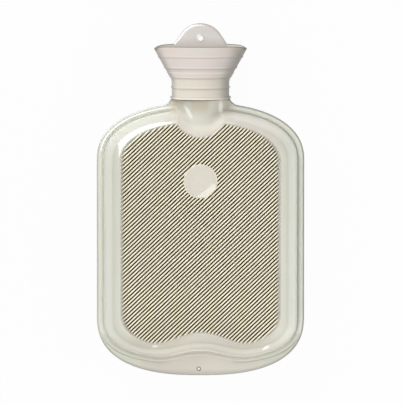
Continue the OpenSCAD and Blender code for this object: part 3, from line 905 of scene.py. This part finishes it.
class Shader:
    """A node material that is built up from short calls."""

    def __init__(self, name):
        self.material = bpy.data.materials.new(name)
        self.material.use_nodes = True
        self.tree = self.material.node_tree
        self.bsdf = self.tree.nodes["Principled BSDF"]

    def node(self, kind, **settings):
        """A new node with some of its settings."""
        n = self.tree.nodes.new(kind)
        for key, value in settings.items():
            setattr(n, key, value)
        return n

    def link(self, source, target):
        """Joins two sockets."""
        self.tree.links.new(source, target)

    def set(self, **values):
        """Sets plain values of the surface, such as Coat_Weight=1.0."""
        for key, value in values.items():
            self.bsdf.inputs[key.replace("_", " ")].default_value = value

    def attribute(self, name):
        """The value painted at each point under a name."""
        return self.node("ShaderNodeAttribute", attribute_name=name).outputs["Fac"]

    def noise(self, scale, detail):
        """Soft random unevenness in an object's own space."""
        coords = self.node("ShaderNodeTexCoord").outputs["Object"]
        n = self.node("ShaderNodeTexNoise")
        n.inputs["Scale"].default_value = scale
        n.inputs["Detail"].default_value = detail
        self.link(coords, n.inputs["Vector"])
        return n.outputs["Fac"]

    def spread(self, value, low, high, to_low=0.0, to_high=1.0):
        """Maps low..high of a value to to_low..to_high."""
        n = self.node("ShaderNodeMapRange")
        n.inputs["From Min"].default_value = low
        n.inputs["From Max"].default_value = high
        n.inputs["To Min"].default_value = to_low
        n.inputs["To Max"].default_value = to_high
        self.link(value, n.inputs["Value"])
        return n.outputs["Result"]

    def math(self, operation, *values):
        """A sum, product or other operation on sockets and numbers."""
        n = self.node("ShaderNodeMath", operation=operation)
        for socket, value in zip(n.inputs, values):
            if isinstance(value, bpy.types.NodeSocket):
                self.link(value, socket)
            else:
                socket.default_value = value
        return n.outputs[0]

    def position(self):
        """Place across and up the bottle, in its own mm."""
        axes = self.node("ShaderNodeSeparateXYZ")
        self.link(self.node("ShaderNodeTexCoord").outputs["Object"], axes.inputs[0])
        x = self.math("DIVIDE", axes.outputs["X"], MM)
        y = self.math("MULTIPLY_ADD", axes.outputs["Y"], 1 / MM, LENGTH / 2)
        return x, y

    def distance(self, x, y, centre, half=(1.0, 1.0), turn=0.0):
        """Distance of (x, y) from a centre, in half lengths of an ellipse that is turned by an angle."""
        c, s = math.cos(turn), math.sin(turn)
        dx = self.math("SUBTRACT", x, centre[0])
        dy = self.math("SUBTRACT", y, centre[1])
        along = self.math(
            "ADD", self.math("MULTIPLY", dx, c / half[0]), self.math("MULTIPLY", dy, s / half[0]))
        over = self.math(
            "SUBTRACT", self.math("MULTIPLY", dy, c / half[1]), self.math("MULTIPLY", dx, s / half[1]))
        squares = self.math("ADD", self.math("MULTIPLY", along, along), self.math("MULTIPLY", over, over))
        return self.math("SQRT", squares)

    def mix(self, factor, a, b, blend="MIX"):
        """Mixes two colours, each a colour or a socket, by a factor or its socket."""
        n = self.node("ShaderNodeMix", data_type="RGBA", blend_type=blend)
        for socket, value in ((n.inputs["Factor"], factor), (n.inputs[6], a), (n.inputs[7], b)):
            if isinstance(value, bpy.types.NodeSocket):
                self.link(value, socket)
            elif isinstance(value, tuple):
                socket.default_value = (*value, 1)
            else:
                socket.default_value = value
        return n.outputs[2]

    def cloudy(self, scale, a, b, detail=2):
        """A colour that drifts softly between two others, each given as in srgb()."""
        return self.mix(self.spread(self.noise(scale, detail), 0.35, 0.65), srgb(*a), srgb(*b))

    def layer(self, base, name, r, g, b):
        """Lays a colour over the base, as strongly as an attribute says."""
        return self.mix(self.attribute(name), base, srgb(r, g, b))

    def bump(self, height, strength, distance):
        """A fine relief on the surface."""
        n = self.node("ShaderNodeBump")
        n.inputs["Strength"].default_value = strength
        n.inputs["Distance"].default_value = distance
        self.link(height, n.inputs["Height"])
        self.link(n.outputs["Normal"], self.bsdf.inputs["Normal"])


def srgb(r, g, b):
    """A colour of 0 to 255 a channel, as a picture shows it, in linear light."""
    return tuple(((v / 255 + 0.055) / 1.055) ** 2.4 if v > 10 else v / 255 / 12.92 for v in (r, g, b))


def corner_share(s, x, up, power):
    """How far out a point lies, 1 being the panel's edge: x across and up past its straight sides."""
    across = s.math("POWER", s.math("DIVIDE", x, PANEL_A), power)
    height = s.math("POWER", s.math("MAXIMUM", up, 0.0), power)
    return s.math("POWER", s.math("ADD", height, across), 1 / power)


def panel_mask(s, x, y, bay):
    """1 over the ribbed panel, falling softly to 0 at its edge and round the bay."""
    x = s.math("ABSOLUTE", x)
    above = s.math("DIVIDE", s.math("SUBTRACT", y, UPPER_Y), PANEL_UPPER_H)
    span, rise = PANEL_WAVE
    phase = s.math("MULTIPLY", s.math("MINIMUM", x, span / 2), 2 * math.pi / span)
    crest = s.math("MULTIPLY_ADD", s.math("COSINE", phase), rise / 2, rise / 2 + PANEL_LOWER_Y)
    below = s.math("DIVIDE", s.math("SUBTRACT", crest, y), PANEL_LOWER_H)
    share = s.math("MAXIMUM", corner_share(s, x, above, PANEL_UPPER_POWER),
                   corner_share(s, x, below, PANEL_LOWER_POWER))
    within = s.spread(share, 0.945, 1.015, 1.0, 0.0)
    return s.math("MULTIPLY", within, s.spread(bay, BAY_R + 0.2, BAY_R + 2.4))


def bottle_material():
    """Milky soft plastic, with painted shade in the grooves between its ribs, painted light on their
    crests, and more painted shade and light by place.
    """
    s = Shader("milky_plastic")
    base = s.cloudy(9, (223, 224, 208), (228, 229, 215))
    warm = s.cloudy(14, (224, 219, 206), (230, 225, 213))
    base = s.mix(s.attribute("warm"), base, warm)
    base = s.layer(base, "neck", 218, 216, 203)
    base = s.layer(base, "socket", 206, 199, 182)
    # Painted light: a paler band over the flange's face.
    base = s.layer(base, "band", 238, 239, 228)
    # Painted shade on the wall along the foot's wave.
    base = s.layer(base, "foot_wall_shade", 206, 201, 185)
    # Painted sheen: a thin pale line along the foot's wall.
    base = s.layer(base, "painted_sheen", 255, 255, 248)
    x, y = s.position()
    bay = s.distance(x, y, (0, BAY_Y))
    panel = panel_mask(s, x, y, bay)
    # Painted shade: a dark line on the neck just under the funnel's collar.
    collar_shade = s.math("MULTIPLY", s.attribute("neck"), s.spread(y, COLLAR_Y - 1.6, COLLAR_Y - 0.8))
    base = s.mix(collar_shade, base, srgb(158, 154, 138))
    # Painted highlights: pale glints, on the front only.
    for centre, half, turn, strength in PAINTED_GLINTS:
        glint = s.spread(s.distance(x, y, centre, half, turn), 0.4, 1.3, strength, 0.0)
        base = s.mix(s.math("MULTIPLY", glint, s.attribute("front")), base, srgb(255, 255, 250))
    # Painted shade: a dark ring round the eyelet's hole.
    eye = s.spread(s.distance(x, y, EYELET[:2]), EYELET[2] + 0.2, EYELET[2] + 1.3, 1.0, 0.0)
    base = s.mix(eye, base, srgb(70, 55, 40))
    # Painted shade: dark olive in the grooves between the ribs.
    groove_shade = s.math("MULTIPLY", s.attribute("groove_shade"), panel)
    base = s.mix(groove_shade, base, srgb(82, 66, 24))
    # Painted light: cream on the crests of the ribs.
    base = s.mix(s.math("MULTIPLY", s.attribute("crest"), panel), base, srgb(255, 249, 220))
    # Painted shade in the crease at the chamber's wall.
    base = s.layer(base, "crease", 150, 151, 138)
    # Painted shade: a thin line on the flange outside its bead.
    base = s.layer(base, "line", 176, 177, 162)
    # Painted shade: a dark line along the flange's outer edge.
    base = s.layer(base, "edge", 100, 101, 92)
    gloss = s.math("MULTIPLY", s.spread(panel, 0.0, 1.0, 1.0, 0.35), s.spread(groove_shade, 0.0, 1.0, 1.0, 0.3))
    gloss = s.math("MULTIPLY", gloss, s.spread(bay, BAY_R + 2, BAY_R + 6, 0.05, 1.0))
    s.link(gloss, s.bsdf.inputs["Coat Weight"])
    s.link(base, s.bsdf.inputs["Base Color"])
    s.set(Roughness=0.25, IOR=1.25, Coat_IOR=2.0, Coat_Roughness=0.05,
          Subsurface_Weight=0.2, Subsurface_Scale=0.002)
    s.bsdf.inputs["Subsurface Radius"].default_value = (1.0, 0.95, 0.8)
    s.bump(s.noise(60, 3), 0.06, 0.001)
    return s.material


def funnel_material():
    """Soft opaque beige plastic with a satin face."""
    s = Shader("funnel_plastic")
    base = s.cloudy(14, (225, 219, 210), (221, 212, 206))
    base = s.layer(base, "beige", 221, 215, 202)
    # Painted light inside the funnel's bowl.
    base = s.layer(base, "bowl", 252, 246, 238)
    # Painted light along the funnel's lower edge.
    base = s.layer(base, "foot", 248, 242, 230)
    # Painted shade on the funnel's band edges and lip.
    base = s.layer(base, "line", 150, 143, 132)
    # Painted shade on the funnel's ends.
    base = s.layer(base, "end", 60, 54, 44)
    s.link(base, s.bsdf.inputs["Base Color"])
    s.set(Roughness=0.42, IOR=1.48, Coat_Weight=0.1, Coat_Roughness=0.3, Subsurface_Weight=0.15,
          Subsurface_Scale=0.002)
    s.bump(s.noise(220, 3), 0.06, 0.0006)
    return s.material


def stopper_material():
    """Rigid glossy plastic, greyish pink."""
    s = Shader("stopper_plastic")
    base = s.cloudy(20, (214, 208, 204), (208, 203, 200))
    # Painted shade along the tab's edge.
    base = s.layer(base, "edge", 150, 146, 142)
    s.link(base, s.bsdf.inputs["Base Color"])
    s.set(Roughness=0.22, IOR=1.5, Coat_Weight=1.0, Coat_IOR=1.8, Coat_Roughness=0.06)
    s.bump(s.noise(120, 2), 0.04, 0.0006)
    return s.material


def socket_material():
    """Rigid matte plastic of the threaded insert."""
    s = Shader("socket_plastic")
    base = s.cloudy(30, (214, 205, 188), (206, 197, 180))
    s.link(base, s.bsdf.inputs["Base Color"])
    s.set(Roughness=0.5)
    s.bump(s.noise(300, 2), 0.1, 0.0004)
    return s.material


def washer_material():
    """Dull grey rubber."""
    s = Shader("washer_rubber")
    base = s.cloudy(40, (150, 146, 138), (136, 132, 126), 3)
    s.link(base, s.bsdf.inputs["Base Color"])
    s.set(Roughness=0.75)
    s.bump(s.noise(500, 3), 0.2, 0.0003)
    return s.material


def dress(obj, material):
    """Gives an object one material."""
    obj.data.materials.clear()
    obj.data.materials.append(material)
    return obj


# The studio


def ray_share(tree, shares):
    """The highest of the shares given for the kinds of ray that meet a surface."""
    path = tree.nodes.new("ShaderNodeLightPath")
    total = None
    for ray, share in shares.items():
        part = tree.nodes.new("ShaderNodeMath")
        part.operation = "MULTIPLY"
        part.inputs[1].default_value = share
        tree.links.new(path.outputs[ray], part.inputs[0])
        if total is None:
            total = part.outputs[0]
            continue
        best = tree.nodes.new("ShaderNodeMath")
        best.operation = "MAXIMUM"
        tree.links.new(total, best.inputs[0])
        tree.links.new(part.outputs[0], best.inputs[1])
        total = best.outputs[0]
    return total


def lit_white(material, shares):
    """A pale material that some rays see mostly as plain white, so the shadow on it stays soft."""
    tree = material.node_tree
    tree.nodes.clear()
    out = tree.nodes.new("ShaderNodeOutputMaterial")
    diffuse = tree.nodes.new("ShaderNodeBsdfDiffuse")
    diffuse.inputs["Color"].default_value = (0.7, 0.7, 0.7, 1)
    glow = tree.nodes.new("ShaderNodeEmission")
    total = ray_share(tree, shares)
    mix = tree.nodes.new("ShaderNodeMixShader")
    tree.links.new(total, mix.inputs[0])
    tree.links.new(diffuse.outputs[0], mix.inputs[1])
    tree.links.new(glow.outputs[0], mix.inputs[2])
    tree.links.new(mix.outputs[0], out.inputs["Surface"])


def floor():
    """A wide pale floor just under the bottle, returned as an object."""
    side = 3.0
    z = cad_box[0].z - 0.0002
    corners = [(-side, -side, z), (side, -side, z), (side, side, z), (-side, side, z)]
    mesh = bpy.data.meshes.new("floor")
    mesh.from_pydata(corners, [], [(0, 1, 2, 3)])
    obj = bpy.data.objects.new("floor", mesh)
    bpy.context.scene.collection.objects.link(obj)
    material = bpy.data.materials.new("floor_white")
    material.use_nodes = True
    lit_white(material, {"Is Camera Ray": 0.96, "Is Transmission Ray": 0.96, "Is Glossy Ray": 0.8})
    mesh.materials.append(material)
    return obj


def area_light(name, place_m, size, watts, only=(), mirrored=False):
    """A soft light, of the given width and height, that points at the bottle.

    Each light only fills shadows, on all objects or on some, or is only mirrored in glossy ones.
    """
    light = bpy.data.lights.new(name, "AREA")
    light.shape = "RECTANGLE"
    light.size, light.size_y = size
    light.energy = watts
    obj = bpy.data.objects.new(name, light)
    if only:
        group = bpy.data.collections.new(name + "_falls_on")
        for piece in only:
            group.objects.link(piece)
        obj.light_linking.receiver_collection = group
    obj.visible_glossy = mirrored
    obj.visible_diffuse = not mirrored
    obj.location = place_m
    aim = Vector((0, 0.02, 0.03)) - Vector(place_m)
    obj.rotation_euler = aim.to_track_quat("-Z", "Y").to_euler()
    bpy.context.scene.collection.objects.link(obj)


def light_tent():
    """A soft light from above, seen by the camera as plain white."""
    world = bpy.data.worlds.new("studio")
    bpy.context.scene.world = world
    world.use_nodes = True
    tree = world.node_tree
    back = tree.nodes["Background"]
    coords = tree.nodes.new("ShaderNodeTexCoord")
    axes = tree.nodes.new("ShaderNodeSeparateXYZ")
    tent = tree.nodes.new("ShaderNodeMapRange")
    tent.interpolation_type = "SMOOTHSTEP"
    tent.inputs["From Min"].default_value = 0.05
    tent.inputs["From Max"].default_value = 0.35
    tent.inputs["To Min"].default_value = 0.0
    tent.inputs["To Max"].default_value = 0.35
    path = tree.nodes.new("ShaderNodeLightPath")
    white = tree.nodes.new("ShaderNodeMath")
    white.operation = "MAXIMUM"
    tree.links.new(coords.outputs["Generated"], axes.inputs["Vector"])
    tree.links.new(axes.outputs["Z"], tent.inputs["Value"])
    tree.links.new(tent.outputs["Result"], white.inputs[0])
    tree.links.new(path.outputs["Is Camera Ray"], white.inputs[1])
    tree.links.new(white.outputs[0], back.inputs["Strength"])
    back.inputs["Color"].default_value = (1, 1, 1, 1)


def studio(bottle_side, funnel_side, glossy):
    """A light tent, a window at the upper left, and lights kept to the bottle or to its funnel."""
    light_tent()
    area_light("window", (-0.8, 0.9, 0.95), (1.3, 1.7), 13)
    area_light("window_gloss", (-0.70, 0.93, 0.88), (1.4, 2.1), 31, glossy, mirrored=True)
    area_light("head", (-0.3, 1.5, 0.45), (1.4, 0.7), 6, bottle_side)
    area_light("foot", (0.0, -1.4, 0.7), (1.6, 0.8), 14, bottle_side)
    area_light("right", (1.4, -0.2, 0.8), (1.0, 1.0), 8.5, bottle_side)
    area_light("funnel", (-0.1, 0.0, 2.0), (1.0, 1.0), 17, funnel_side)


def camera():
    """Looks down on the bottle as the photograph looks at it, from far off."""
    cam = bpy.data.cameras.new("camera")
    obj = bpy.data.objects.new("camera", cam)
    bpy.context.scene.collection.objects.link(obj)
    centre = PHOTO_PX / 2
    target = Vector((
        (centre - BOTTLE_PX[0]) * PX * MM, (BOTTLE_PX[1] - centre) * PX * MM, HALF_DEPTH * MM))
    back = Vector((0, math.sin(CAMERA_TILT), math.cos(CAMERA_TILT)))
    obj.location = target + back * CAMERA_DISTANCE
    obj.rotation_euler = (-CAMERA_TILT, 0, 0)
    cam.sensor_width = SENSOR_MM
    cam.lens = SENSOR_MM * CAMERA_DISTANCE / (PHOTO_PX * PX * MM)
    cam.clip_end = 20
    bpy.context.scene.camera = obj


bpy.context.scene.view_settings.view_transform = "Standard"
camera()
ground = floor()

shell = dress(bottle_shell(), bottle_material())
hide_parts("bottle_body")
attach(shell, "bottle")

funnel = dress(filler_funnel(), funnel_material())
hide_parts("filler_funnel")
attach(funnel, "bottle")

stopper = dress(stopper_piece(), stopper_material())
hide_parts("stopper")
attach(stopper, "stopper")

insert = dress(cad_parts["thread_socket"], socket_material())
washer = dress(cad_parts["stopper_washer"], washer_material())

studio([shell, insert, ground], [funnel, stopper, washer], [shell, stopper])
